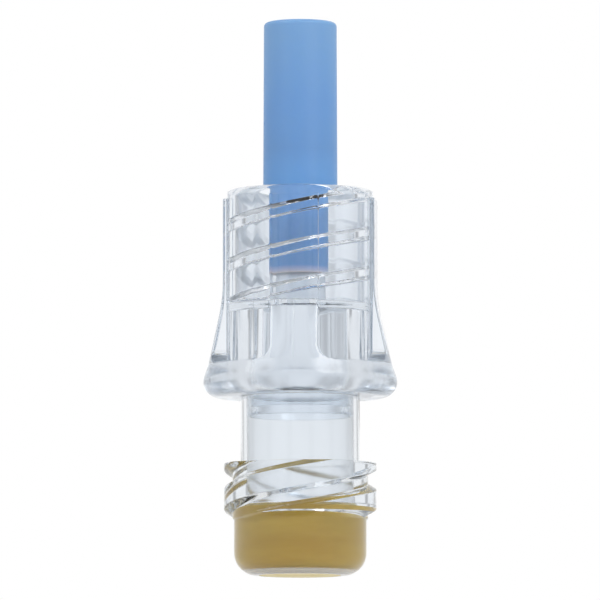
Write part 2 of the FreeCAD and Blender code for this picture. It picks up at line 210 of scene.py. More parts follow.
@dataclass
class Graph:
    """Adds nodes to a material or a world and links them, so that formulas read as calls."""

    nodes: bpy.types.Nodes
    links: bpy.types.NodeLinks

    def add(self, kind: str) -> bpy.types.Node:
        """Adds a node of a kind."""
        return self.nodes.new(kind)

    def feed(self, socket: bpy.types.NodeSocket, source: Source) -> None:
        """Links a socket to another node's output, or sets it to a number or a colour."""
        if isinstance(source, bpy.types.NodeSocket):
            self.links.new(source, socket)
        else:
            socket.default_value = source

    def place(self) -> bpy.types.NodeSocket:
        """Gives the point on the piece, in the object's own coordinates."""
        return self.add("ShaderNodeTexCoord").outputs["Object"]

    def split(self, vector: Source) -> bpy.types.NodeOutputs:
        """Takes a vector apart into X, Y and Z."""
        node = self.add("ShaderNodeSeparateXYZ")
        self.feed(node.inputs["Vector"], vector)
        return node.outputs

    def maths(self, operation: str, first: Source, second: Source = 0.0) -> bpy.types.NodeSocket:
        """Works out one operation on one or two values."""
        node = self.add("ShaderNodeMath")
        node.operation = operation
        self.feed(node.inputs[0], first)
        self.feed(node.inputs[1], second)
        return node.outputs["Value"]

    def product(self, first: Source, *others: Source) -> bpy.types.NodeSocket:
        """Multiplies values together."""
        for other in others:
            first = self.maths("MULTIPLY", first, other)
        return first

    def without(self, source: Source) -> bpy.types.NodeSocket:
        """Takes a share away from one."""
        return self.maths("SUBTRACT", 1.0, source)

    def round_square(self, parts: bpy.types.NodeOutputs) -> bpy.types.NodeSocket:
        """Squares the distance from the axis."""
        across = [self.maths("POWER", self.maths("ABSOLUTE", parts[axis]), 2.0) for axis in "XY"]
        return self.maths("ADD", *across)

    def noise(self, place: Source, scale: float, detail: float = 2.0) -> bpy.types.NodeSocket:
        """Spreads a soft noise over the piece, at so many waves for each metre."""
        node = self.add("ShaderNodeTexNoise")
        node.inputs["Scale"].default_value = scale
        node.inputs["Detail"].default_value = detail
        self.feed(node.inputs["Vector"], place)
        return node.outputs["Fac"]

    def ramp(
        self, source: Source, span: tuple[float, float], result: tuple[float, float], soft: bool = False
    ) -> bpy.types.NodeSocket:
        """Maps a span of values to a span of results, held at its ends, and eased where soft is true."""
        node = self.add("ShaderNodeMapRange")
        node.interpolation_type = "SMOOTHSTEP" if soft else "LINEAR"
        node.inputs["From Min"].default_value, node.inputs["From Max"].default_value = span
        node.inputs["To Min"].default_value, node.inputs["To Max"].default_value = result
        self.feed(node.inputs["Value"], source)
        return node.outputs["Result"]

    def blend(self, share: Source, first: Source, second: Source) -> bpy.types.NodeSocket:
        """Mixes two colours by a share."""
        node = self.add("ShaderNodeMix")
        node.data_type = "RGBA"
        self.feed(node.inputs["Factor"], share)
        self.feed(node.inputs["A"], first)
        self.feed(node.inputs["B"], second)
        return node.outputs["Result"]

    def choose(self, share: Source, first: Source, second: Source) -> bpy.types.NodeSocket:
        """Mixes two shaders by a share."""
        node = self.add("ShaderNodeMixShader")
        for socket, source in zip(node.inputs, (share, first, second)):
            self.feed(socket, source)
        return node.outputs["Shader"]

    def material_output(self) -> bpy.types.Node:
        """Finds the material's output."""
        return next(node for node in self.nodes if node.type == "OUTPUT_MATERIAL")


def new_material(name: str) -> tuple[bpy.types.Material, bpy.types.Node, Graph]:
    """Makes a node material and returns it with its principled shader and its graph."""
    made = bpy.data.materials.new(name)
    made.use_nodes = True
    nodes = made.node_tree.nodes
    shader = next(node for node in nodes if node.type == "BSDF_PRINCIPLED")
    return made, shader, Graph(nodes, made.node_tree.links)


@dataclass(frozen=True)
class PaintedFlankReflection:
    """Painted reflection: a dark colour painted on the upper ridge flanks where they are met from within,
    standing in for the mirrored dark side of a room.

    Attributes:
        radii: lowest and highest radius in millimetres.
        floor: lowest height in millimetres.
        ceiling: height in millimetres over which the dark fades out.
        fade: half the height of that fade in millimetres.
        lower: how far below the ceiling, in millimetres, the fainter part ends and the full part begins.
        faint: strength of the fainter part.
        lean: a face counts as an upper flank where its normal's upward part is under this. From
            within the plastic the normal is turned round, so the upper flank's points down.
        grain: waves of the specks for each metre.
        specks: span of the specks' noise over which the dark grows.
        strength: lowest and highest strength of the dark.
        colour: colour of the painted dark reflection.
    """

    radii: tuple[float, float]
    floor: float
    ceiling: float
    fade: float = 0.1
    lower: tuple[float, float] = (1.05, 0.6)
    faint: float = 0.4
    lean: float = -0.15
    grain: float = 1500.0
    specks: tuple[float, float] = (0.40, 0.47)
    strength: tuple[float, float] = (0.2, 1.0)
    colour: Colour = (0.03, 0.025, 0.02)

    def share(self, graph: Graph, place: Source, radius: Source, height: Source) -> Source:
        """Works out the share of painted dark reflection, from 0 on clear plastic to 1.

        Args:
            graph: the material's graph.
            place: the point on the piece.
            radius: its distance from the axis.
            height: its height.

        Returns:
            An output with the share.
        """
        skin = graph.add("ShaderNodeNewGeometry").outputs
        start, end = (self.ceiling - drop for drop in self.lower)
        return graph.product(
            graph.ramp(graph.noise(place, self.grain), self.specks, self.strength),
            graph.maths("GREATER_THAN", radius, self.radii[0] * MM),
            graph.maths("LESS_THAN", radius, self.radii[1] * MM),
            graph.maths("GREATER_THAN", height, self.floor * MM),
            graph.maths("LESS_THAN", graph.split(skin["Normal"])["Z"], self.lean),
            skin["Backfacing"],
            graph.ramp(
                height, ((self.ceiling - self.fade) * MM, (self.ceiling + self.fade) * MM), (1.0, 0.0)
            ),
            graph.ramp(height, (start * MM, end * MM), (self.faint, 1.0)),
        )


@dataclass(frozen=True)
class ClearPlastic:
    """Clear moulding: refracts, takes a little light at each surface, has satin inside walls, and can carry
    a painted dark reflection on its ridge flanks.

    Attributes:
        name: the material's name.
        dull_walls: radius and height in millimetres and roughness of the inside walls that lie within
            that radius and above that height, on their air side only.
        dull_foot: lowest and highest height in millimetres of the foot, and the roughness of every
            surface there, if it has one.
        frost: height in millimetres up to which the skin is frosted, if it is.
        frost_start: share of that height at which the frost begins to fade.
        frost_clear: share of the light that the full frost lets through.
        flanks: ridge flanks that get a painted dark reflection, if any.
        surface: colour that a surface lets through.
        tint: colour of the light that a thick stretch lets through.
        density: how fast it takes light, for each metre.
        index: index of refraction.
        polish: lowest and highest roughness over the surface.
        polish_grain: waves of the polish marks for each metre, and their detail.
        polish_span: span of the polish marks' noise over which the roughness grows.
        gloss: specular level of plain plastic.
    """

    name: str
    dull_walls: tuple[tuple[float, float, float], ...] = ()
    dull_foot: tuple[float, float, float] | None = None
    frost: float | None = None
    frost_start: float = 0.6
    frost_clear: float = 0.5
    flanks: PaintedFlankReflection | None = None
    surface: Colour = (0.92, 0.952, 0.99)
    tint: Colour = (0.60, 0.66, 0.72)
    density: float = 70.0
    index: float = 1.53
    polish: tuple[float, float] = (0.02, 0.06)
    polish_grain: tuple[float, float] = (900.0, 3.0)
    polish_span: tuple[float, float] = (0.35, 0.7)
    gloss: float = 0.5

    def roughness(self, graph: Graph, place: Source, radius: Source, height: Source) -> Source:
        """Works out the roughness: fine marks, and the dull walls and foot where they are rougher."""
        rough = graph.ramp(graph.noise(place, *self.polish_grain), self.polish_span, self.polish)
        in_air = graph.without(graph.add("ShaderNodeNewGeometry").outputs["Backfacing"])
        for within, above, haze in self.dull_walls:
            inside = graph.maths("LESS_THAN", radius, within * MM)
            high = graph.maths("GREATER_THAN", height, above * MM)
            rough = graph.maths("MAXIMUM", rough, graph.product(inside, high, in_air, haze))
        if self.dull_foot:
            lowest, highest, haze = self.dull_foot
            above = graph.maths("GREATER_THAN", height, lowest * MM)
            below = graph.maths("LESS_THAN", height, highest * MM)
            rough = graph.maths("MAXIMUM", rough, graph.product(above, below, haze))
        return rough

    def make(self) -> bpy.types.Material:
        """Makes the material: a refracting shader whose roughness and colour follow the piece, with a
        painted dark reflection on the ridge flanks where set.
        """
        made, shader, graph = new_material(self.name)
        place = graph.place()
        parts = graph.split(place)
        height = parts["Z"]
        radius = graph.maths("SQRT", graph.round_square(parts))
        graph.feed(shader.inputs["Roughness"], self.roughness(graph, place, radius, height))
        shader.inputs["Base Color"].default_value = (*self.surface, 1.0)
        shader.inputs["Transmission Weight"].default_value = 1.0
        shader.inputs["IOR"].default_value = self.index
        # Painted reflection: dark Base Color on the ridge flanks, standing in for a mirrored dark room.
        if self.flanks:
            dark = self.flanks.share(graph, place, radius, height)
            colour = graph.blend(dark, (*self.surface, 1.0), (*self.flanks.colour, 1.0))
            graph.feed(shader.inputs["Base Color"], colour)
            dull = graph.maths("SUBTRACT", self.gloss, graph.product(dark, self.gloss))
            graph.feed(shader.inputs["Specular IOR Level"], dull)
            graph.feed(shader.inputs["Transmission Weight"], graph.without(dark))
        if self.frost:
            span = (self.frost_start * self.frost * MM, self.frost * MM)
            clear = graph.ramp(height, span, (self.frost_clear, 1.0), soft=True)
            graph.feed(shader.inputs["Transmission Weight"], clear)
        depth = graph.add("ShaderNodeVolumeAbsorption")
        depth.inputs["Color"].default_value = (*self.tint, 1.0)
        depth.inputs["Density"].default_value = self.density
        graph.feed(graph.material_output().inputs["Volume"], depth.outputs["Volume"])
        return made


@dataclass(frozen=True)
class MilkyPlastic:
    """Milky blue moulding with a fine satin skin, lighter towards its closed end, with painted light on its
    bore's wall and mouth standing in for light through the thin wall.

    Attributes:
        name: the material's name.
        stops: heights in millimetres, each with the colour there. The lowest two are painted light: they
            make the mouth's end pale, standing in for light through the thin wall.
        painted_glow_colour: lighter colour painted on the bore's wall and the mouth, standing in for light
            through the thin wall.
        bore: radius in millimetres within which a wall is the bore's.
        mouth_top: height in millimetres up to which the mouth gets that painted light.
        painted_glow_top: height in millimetres up to which the bore gets that painted light.
        roughness: lowest and highest roughness of the skin.
        grain: waves of the skin's noise for each metre.
    """

    name: str
    stops: tuple[tuple[float, Colour], ...] = (
        (19.74, (0.72, 0.68, 0.78)),
        (20.0, (0.45, 0.53, 0.78)),
        (20.25, (0.138, 0.36, 0.72)),
        (24.5, (0.138, 0.36, 0.72)),
        (28.0, (0.118, 0.272, 0.54)),
        (31.0, (0.122, 0.280, 0.557)),
        (36.5, (0.159, 0.323, 0.565)),
    )
    painted_glow_colour: Colour = (0.80, 0.74, 0.80)
    bore: float = 2.38
    mouth_top: float = 19.8
    painted_glow_top: float = 26.0
    roughness: tuple[float, float] = (0.38, 0.55)
    grain: float = 2600.0

    def along(self, graph: Graph, height: Source) -> bpy.types.NodeSocket:
        """Works out the colour at a height, straight from one stop to the next."""
        low, high = self.stops[0][0], self.stops[-1][0]
        colour = graph.add("ShaderNodeValToRGB")
        held = colour.color_ramp.elements
        held.remove(held[1])
        for level, shade in self.stops:
            share = (level - low) / (high - low)
            stop = held.new(share) if share > 0 else held[0]
            stop.color = (*shade, 1.0)
        graph.feed(colour.inputs["Fac"], graph.ramp(height, (low * MM, high * MM), (0.0, 1.0)))
        return colour.outputs["Color"]

    def make(self) -> bpy.types.Material:
        """Makes the material: stops of colour along the axis, painted light on the bore and mouth, and a
        fine noise for the skin.
        """
        made, shader, graph = new_material(self.name)
        place = graph.place()
        parts = graph.split(place)
        # Painted light: the bore's wall and the mouth are painted a lighter colour, standing in for light
        # through the thin wall.
        inside = graph.maths("LESS_THAN", graph.round_square(parts), (self.bore * MM) ** 2)
        mouth = graph.maths("LESS_THAN", parts["Z"], self.mouth_top * MM)
        near = graph.maths("LESS_THAN", parts["Z"], self.painted_glow_top * MM)
        painted_glow_share = graph.product(graph.maths("MAXIMUM", inside, mouth), near)
        colour = graph.blend(painted_glow_share, self.along(graph, parts["Z"]), (*self.painted_glow_colour, 1.0))
        graph.feed(shader.inputs["Base Color"], colour)
        shader.inputs["Subsurface Weight"].default_value = 0.6
        shader.inputs["Subsurface Radius"].default_value = (0.6, 0.8, 1.0)
        shader.inputs["Subsurface Scale"].default_value = 0.0006
        skin = graph.noise(place, self.grain)
        graph.feed(shader.inputs["Roughness"], graph.ramp(skin, (0.0, 1.0), self.roughness))
        bump = graph.add("ShaderNodeBump")
        bump.inputs["Strength"].default_value = 0.15
        bump.inputs["Distance"].default_value = 0.00002
        graph.feed(bump.inputs["Height"], skin)
        graph.feed(shader.inputs["Normal"], bump.outputs["Normal"])
        return made


@dataclass(frozen=True)
class TanRubber:
    """Tan moulded rubber, a little cloudy, with a soft sheen and painted light where its surface turns
    away.

    Attributes:
        name: the material's name.
        shade: darker tone of the rubber.
        light: lighter tone of the rubber.
        painted_limb_light: lighter tone painted where the surface turns away, standing in for light from
            the clear cup wall.
        level: stretch of the clouds along each axis, which lays them level.
        grain: waves of the clouds for each metre, and their detail.
    """

    name: str
    shade: Colour = (0.57, 0.345, 0.02)
    light: Colour = (0.66, 0.45, 0.055)
    painted_limb_light: Colour = (0.80, 0.68, 0.34)
    level: Colour = (0.3, 0.3, 1.6)
    grain: tuple[float, float] = (420.0, 4.0)

    def make(self) -> bpy.types.Material:
        """Makes the material: level clouds between two tans, painted lighter where the surface turns away,
        standing in for light from the clear cup wall.
        """
        made, shader, graph = new_material(self.name)
        flat = graph.add("ShaderNodeMapping")
        flat.inputs["Scale"].default_value = self.level
        graph.feed(flat.inputs["Vector"], graph.place())
        cloud = graph.ramp(graph.noise(flat.outputs["Vector"], *self.grain), (0.35, 0.65), (0.0, 1.0))
        tans = graph.blend(cloud, (*self.shade, 1.0), (*self.light, 1.0))
        # Painted light: the limb is painted lighter through Layer Weight's Facing.
        turned = graph.add("ShaderNodeLayerWeight")
        turned.inputs["Blend"].default_value = 0.3
        whole = graph.blend(turned.outputs["Facing"], tans, (*self.painted_limb_light, 1.0))
        graph.feed(shader.inputs["Base Color"], whole)
        shader.inputs["Roughness"].default_value = 0.5
        shader.inputs["Subsurface Weight"].default_value = 0.2
        shader.inputs["Subsurface Radius"].default_value = (1.0, 0.7, 0.3)
        shader.inputs["Subsurface Scale"].default_value = 0.0005
        return made


def place_piece(piece: Piece, skin: Skin, material: bpy.types.Material) -> bpy.types.Object:
    """Puts a finished surface in the scene in the stead of its CAD node.

    Args:
        piece: which piece it is.
        skin: its surface.
        material: its finish.

    Returns:
        The new object, riding on its body.
    """
    made = bpy.data.objects.new(piece.title, skin.mesh(piece.title))
    bpy.context.scene.collection.objects.link(made)
    made.data.materials.append(material)
    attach(made, piece.body)
    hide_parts(piece.node)
    LOG.info("%s: %d points", piece.title, len(made.data.vertices))
    return made


@dataclass
class LuerCollar:
    """The clear luer-lock body: grip collar, lands, flange, spigot, chamber, cone and inner thread."""

    bow: float = 9.9
    flat_distance: float = 4.8
    corner_radius: float = 5.17
    corner_soften: float = 0.05
    rim_lip: float = 4.35
    rim_rounding: float = 0.88
    land_face: float = 5.0
    land_crown: float = 5.2
    land_half: float = 1.55
    land_top: float = 24.73
    flare_height: float = 18.14
    flare_blend: float = 1.2
    ledge_radius: float = 6.05
    pocket_corner: float = 1.0
    flange_waist: tuple[float, float] = (6.3, 13.1)
    flange_foot: float = 6.74
    flange_rounding: float = 1.0
    spigot_radius: float = 3.5
    spigot_end: float = 10.43
    chamber_lead: float = 0.55
    chamber_lead_bend: float = 0.5
    chamber_mouth: float = 3.38
    chamber_radius: float = 3.2
    chamber_top_radius: float = 3.1
    chamber_top: float = 17.39
    lumen: float = 1.15
    tip_radius: float = 1.965
    cone_foot: float = 2.246
    bore: float = 4.25
    bore_lead: float = 0.06
    ridge_rise: float = 0.65
    ridge_half_root: float = 0.425
    ridge_half_crest: float = 0.25
    ridge_station: float = 17.42
    ridge_last: float = 25.4
    ridge_fade: float = 0.03
    bore_rows: int = 150
    seam_rise: float = 0.02
    face_shares: tuple[float, ...] = (0.0, 0.02, 0.045, 0.2, 0.36, 0.52, 0.68, 0.82, 0.92)
    edge_steps: tuple[tuple[float, float], ...] = (
        (-0.06, 0.0), (-0.03, 0.008), (-0.008, 0.03), (0.0, 0.06)
    )
    foot_steps: tuple[tuple[float, float], ...] = (
        (0.004, 0.08), (0.02, 0.025), (0.05, 0.004), (0.09, 0.0)
    )
    pocket_shares: tuple[float, ...] = (
        0.1, 0.2, 0.3, 0.37, 0.41, 0.44, 0.47, 0.5, 0.54, 0.6, 0.67, 0.74, 0.81, 0.88, 0.94, 1.0
    )

    def side_at(self, across: np.ndarray) -> np.ndarray:
        """Distance of the bowed side from the axis plane: a circle of the bow's radius behind the axis."""
        return self.flat_distance - self.bow + np.sqrt(self.bow**2 - across**2)

    def side_radius(self, angle: np.ndarray) -> np.ndarray:
        """Radius at an angle from a side's middle: the bowed side, cut off by the corner circle."""
        behind = self.bow - self.flat_distance
        bowed = np.sqrt(self.bow**2 - (behind * np.sin(angle)) ** 2) - behind * np.cos(angle)
        return soft_least(bowed, np.full_like(bowed, self.corner_radius), self.corner_soften)

    def flare(self, height: np.ndarray) -> np.ndarray:
        """How far down the flare a height lies: zero above, then a parabola into a straight line."""
        down = self.flare_height - height
        bend = (down + self.flare_blend) ** 2 / (4 * self.flare_blend)
        return np.where(down < -self.flare_blend, 0.0, np.where(down > self.flare_blend, down, bend))

    def half_section(self, height: np.ndarray, raised: np.ndarray, limit: np.ndarray) -> np.ndarray:
        """Works out half of a land and half of the pocket beside it, for every row.

        Outwards is x and across the land is y. On the land, x is the lesser of its flat face and of
        its crown circle. Beyond its edge, x is the bowed side. The pocket's points stand at equal
        shares of the angle from the land's foot to the corner, on the collar's own radius.

        Args:
            height: height of each row.
            raised: share of its full height that the land has in each row.
            limit: radius at which the rim's turned round cuts each row off.

        Returns:
            Points x and y, shaped rows by columns by 2.
        """
        column = height[:, None]
        run = self.flare_height - LEDGE
        above = np.clip(column - LEDGE, 0.0, self.pocket_corner)
        quarter = np.sqrt(self.pocket_corner**2 - (self.pocket_corner - above) ** 2)
        edge = self.land_half + self.pocket_corner - quarter
        flare = self.flare(column)
        face = self.land_face + flare * (self.ledge_radius - self.land_face) / run
        crown = self.land_crown + flare * (self.ledge_radius - self.land_crown) / run

        def land_at(across: np.ndarray) -> np.ndarray:
            return soft_least(np.broadcast_to(face, across.shape), np.sqrt(crown**2 - across**2), 0.03)

        first_out, _ = self.edge_steps[0]
        face_y = np.array(self.face_shares)[None] * (edge + first_out)
        face_x = land_at(face_y)
        edge_y = edge + np.array([out for out, _ in self.edge_steps])[None]
        edge_x = land_at(edge_y) - np.array([down for _, down in self.edge_steps])[None]
        foot_y = edge + np.array([out for out, _ in self.foot_steps])[None]
        foot_x = self.side_at(foot_y) + np.array([up for _, up in self.foot_steps])[None]
        y = np.concatenate([face_y, edge_y, foot_y], axis=1)
        full = np.concatenate([face_x, edge_x, foot_x], axis=1)
        base = self.side_at(y)
        x = base + raised[:, None] * (full - base)
        start = np.arctan2(y[:, -1:], base[:, -1:])
        angle = start + (math.pi / 4 - start) * np.array(self.pocket_shares)[None]
        radius = self.side_radius(angle)
        x = np.concatenate([x, radius * np.cos(angle)], axis=1)
        y = np.concatenate([y, radius * np.sin(angle)], axis=1)
        radius = np.hypot(x, y)
        shrink = soft_least(radius, np.broadcast_to(limit[:, None], radius.shape), 0.02) / radius
        return np.stack([x * shrink, y * shrink], axis=-1)

    def whole_section(self, half: np.ndarray, seam: np.ndarray) -> np.ndarray:
        """Mirrors the half section about its land and turns it to the four sides.

        Args:
            half: points x and y of half a side.
            seam: height of the mould seam in each row, on the lands that face the camera and the back.

        Returns:
            Points x and y all round, in order of their angle.
        """
        mirrored = half[:, -2:0:-1] * np.array([1.0, -1.0])
        side = np.concatenate([mirrored, half], axis=1)
        middle = mirrored.shape[1]
        sides = []
        for quarter in range(4):
            turned = side.copy()
            if quarter % 2:
                turned[:, middle, 0] += seam
                turned[:, [middle - 1, middle + 1], 0] += seam[:, None] / 2
            angle = math.radians(90 * quarter + TURN)
            across = np.array([[math.cos(angle), math.sin(angle)], [-math.sin(angle), math.cos(angle)]])
            sides.append(turned @ across)
        return np.concatenate(sides, axis=1)

    def outer_rows(self) -> np.ndarray:
        """Rows of the grip from the rim down to the ledge, as points all round."""
        bend = np.linspace(math.pi / 2, 0.28, 15)
        rim_z = RIM - self.rim_rounding * (1 - np.sin(bend))
        top_z = self.land_top + np.array([0.008, 0.0, -0.001, -0.012, -0.04])
        top_raised = np.array([0.05, 0.2, 0.8, 0.95, 1.0])
        shaft_z = np.array([24.0, 22.0, 20.5])
        flare_top = self.flare_height + self.flare_blend
        flare_z = np.linspace(flare_top, LEDGE + self.pocket_corner, 14)
        corner = np.linspace(0.0, math.pi / 2, 11)[1:]
        corner_z = LEDGE + self.pocket_corner * (1 - np.sin(corner))
        height = np.concatenate([rim_z, top_z, shaft_z, flare_z, corner_z])
        raised = np.ones_like(height)
        raised[: len(rim_z)] = 0.0
        raised[len(rim_z) : len(rim_z) + len(top_z)] = top_raised
        over = np.clip(height - RIM + self.rim_rounding, 0.0, self.rim_rounding)
        limit = self.rim_lip + np.sqrt(self.rim_rounding**2 - over**2)
        limit[over <= 0] = self.flange_foot
        plan = self.whole_section(self.half_section(height, raised, limit), self.seam_rise * (raised > 0.5))
        levels = np.broadcast_to(height[:, None], plan.shape[:2])
        return np.concatenate([plan, levels[..., None]], axis=-1)

    def ledge_rows(self, last: np.ndarray) -> np.ndarray:
        """Rows that carry the pockets' foot out to the ledge's edge while the lands run down the flange.

        Args:
            last: the grip's last row, at the ledge.

        Returns:
            Points of the ledge, row by row.
        """
        radius = np.hypot(last[:, 0], last[:, 1])
        angle = np.arctan2(last[:, 1], last[:, 0])
        slope = (self.flange_foot - self.ledge_radius) / (LEDGE - FLANGE_UNDERSIDE)
        on_land = radius > self.ledge_radius - 0.1
        out = np.array([0.12, 0.5, 0.88, 1.0, 1.0, 1.0])[:, None]
        short = np.array([0.05, 0.05, 0.05, 0.05, 0.015, 0.0])[:, None]
        drop = np.array([0.0, 0.0, 0.0, 0.0, 0.015, 0.05])[:, None]
        slide = np.linspace(0.0, 0.05, 7)[1:, None]
        pocket_radius = radius + (self.ledge_radius - radius) * out - short
        land_radius = self.ledge_radius + slope * slide
        ring_radius = np.where(on_land, land_radius, pocket_radius)
        ring_height = LEDGE - np.where(on_land, slide, drop)
        return around(ring_radius, ring_height, angle[None])

    def bore_radius(self, height: np.ndarray, angle: np.ndarray) -> np.ndarray:
        """Radius of the threaded bore.

        A ridge's middle climbs by the lead for each turn, and the next one stands a pitch above it.
        The ridge stands out by its rise on its crest and falls to nothing at its root's half width.
        It fades out over the last degrees before its end below the rim.
        """
        turned = np.mod(angle - math.radians(TURN), 2 * math.pi)
        climb = self.ridge_station + THREAD_LEAD * turned / (2 * math.pi)
        number = np.round((height - climb) / THREAD_PITCH)
        centre = climb + number * THREAD_PITCH
        off = np.abs(height - centre)
        flank = (self.ridge_half_root - off) / (self.ridge_half_root - self.ridge_half_crest)
        shape = 0.5 * np.clip(flank, 0.0, 1.0) + 0.5 * smooth(flank)
        fade = smooth((self.ridge_last - centre) / self.ridge_fade)
        return self.bore - self.ridge_rise * shape * fade

    def build(self) -> Skin:
        """Joins the grip, the ledge, the flange and the inside into one closed loop of rings."""
        grip = self.outer_rows()
        ledge = self.ledge_rows(grip[-1])
        plan_angle = np.arctan2(ledge[-1, :, 1], ledge[-1, :, 0])
        columns = grip.shape[1]
        even = math.radians(TURN - 45) + 2 * math.pi / columns * (np.arange(columns) + 1)
        flange = rounded_path(
            [
                (self.ledge_radius + 0.02, LEDGE - 0.07, 0.0),
                (*self.flange_waist, 0.0),
                (self.flange_foot, FLANGE_UNDERSIDE, self.flange_rounding),
                (4.6, FLANGE_UNDERSIDE, 0.0),
            ],
            steps=13,
        )
        inside = rounded_path(
            [
                (4.0, FLANGE_UNDERSIDE, 0.0),
                (self.spigot_radius, FLANGE_UNDERSIDE, 0.05),
                (self.spigot_radius, self.spigot_end, 0.04),
                (self.chamber_mouth, self.spigot_end, 0.04),
                (self.chamber_radius, self.spigot_end + self.chamber_lead, self.chamber_lead_bend),
                (self.chamber_top_radius, self.chamber_top, 0.08),
                (self.lumen, self.chamber_top, 0.08),
                (self.lumen, TIP, 0.1),
                (self.tip_radius, TIP, 0.12),
                (self.cone_foot, FLOOR, 0.1),
                (self.bore, FLOOR, 0.06),
                (self.bore, FLOOR + 0.2, 0.0),
            ]
        )
        bore_top = RIM - self.bore_lead
        bore_z = np.linspace(FLOOR + 0.22, bore_top - 0.05, self.bore_rows)
        mouth = rounded_path(
            [
                (self.bore, bore_top - 0.02, 0.0),
                (self.bore, bore_top, 0.015),
                (self.bore + self.bore_lead, RIM, 0.02),
                (self.bore + self.bore_lead + 0.02, RIM, 0.0),
            ],
            steps=3,
        )[:-1]
        rings = np.concatenate(
            [
                grip,
                ledge,
                around(flange[:, :1], flange[:, 1:], plan_angle[None]),
                around(inside[:, :1], inside[:, 1:], even[None]),
                around(self.bore_radius(bore_z[:, None], even[None]), bore_z[:, None], even[None]),
                around(mouth[:, :1], mouth[:, 1:], even[None]),
            ]
        )
        return Skin(rings)


@dataclass
class ThreadedCup:
    """The clear septum housing: rolled cup, outer double-start thread and neck."""

    opening: float = 2.7
    cup_radius: float = 4.35
    cup_corner: float = 1.5
    cup_height: float = 7.35
    root_radius: float = 4.45
    crest_radius: float = 5.0
    half_root: float = 1.0
    half_crest: float = 0.65
    crest_station: float = 5.0
    foot: float = 4.1
    foot_flank: float = 0.45
    side_start: float = 2.8
    neck_radius: float = 3.91
    neck_bore: float = 3.53
    top: float = FLANGE_UNDERSIDE - 0.01
    pocket_radius: float = 3.78
    pocket_top: float = 4.63
    pocket_bend: float = 0.75
    swage: float = 0.32
    columns: int = 360
    thread_rows: int = 90

    def thread_radius(self, height: np.ndarray, angle: np.ndarray) -> np.ndarray:
        """Radius of the outer thread.

        A crest's middle climbs by the lead for each turn, and the next one stands a pitch above it.
        The crest is flat over its half width and falls to the root at the root's half width.
        Below the foot the ridges are cut off by a cone as steep as their flanks.
        """
        climb = self.crest_station + THREAD_LEAD * angle / (2 * math.pi)
        number = np.round((height - climb) / THREAD_PITCH)
        off = np.abs(height - climb - number * THREAD_PITCH)
        flank = (self.half_root - off) / (self.half_root - self.half_crest)
        shape = 0.6 * np.clip(flank, 0.0, 1.0) + 0.4 * smooth(flank)
        cut = (height - self.foot + self.foot_flank) / self.foot_flank
        ridge = self.root_radius + (self.crest_radius - self.root_radius) * shape
        cone = self.cup_radius + (self.crest_radius - self.cup_radius) * cut
        return np.minimum(ridge, np.maximum(cone, self.cup_radius))

    def build(self) -> Skin:
        """Joins the outside, the thread, the neck and the inside into one closed loop of rings."""
        angle = 2 * math.pi / self.columns * np.arange(self.columns)[None]
        start = self.foot - self.foot_flank
        corner = np.linspace(0.0, math.pi / 2, 15)
        corner_r = self.cup_radius - self.cup_corner * (1 - np.sin(corner))
        corner_z = self.cup_corner * (1 - np.cos(corner))
        step = rounded_path([(self.cup_radius, self.side_start, 0.0), (self.cup_radius, start - 0.01, 0.0)])
        thread_z = np.concatenate(
            [
                np.linspace(start, self.foot, 12),
                np.linspace(self.foot + 0.03, self.cup_height - 0.05, self.thread_rows),
                self.cup_height + np.array([-0.02, -0.005]),
            ]
        )
        thread = self.thread_radius(thread_z[:, None], angle)
        shoulder_z = np.full(3, self.cup_height)
        shares = np.array([0.03, 0.5, 0.93])[:, None]
        shoulder = thread[-1][None] * (1 - shares) + self.neck_radius * shares - 0.01 * (shares < 0.1)
        inside = rounded_path(
            [
                (self.neck_radius + 0.02, self.cup_height, 0.0),
                (self.neck_radius, self.cup_height + 0.02, 0.0),
                (self.neck_radius, self.top, 0.05),
                (self.neck_bore, self.top, 0.05),
                (self.neck_bore, self.pocket_top, 0.04),
                (self.pocket_radius, self.pocket_top, 0.04),
                (self.pocket_radius, self.swage, self.pocket_bend),
                (self.opening, self.swage, 0.05),
                (self.opening, 0.0, 0.06),
                (self.opening + 0.12, 0.0, 0.0),
            ],
            steps=6,
        )
        rings = np.concatenate(
            [
                around(corner_r[:, None], corner_z[:, None], angle),
                around(step[:, :1], step[:, 1:], angle),
                around(thread, thread_z[:, None], angle),
                around(shoulder, shoulder_z[:, None], angle),
                around(inside[:, :1], inside[:, 1:], angle),
            ]
        )
        return Skin(rings)


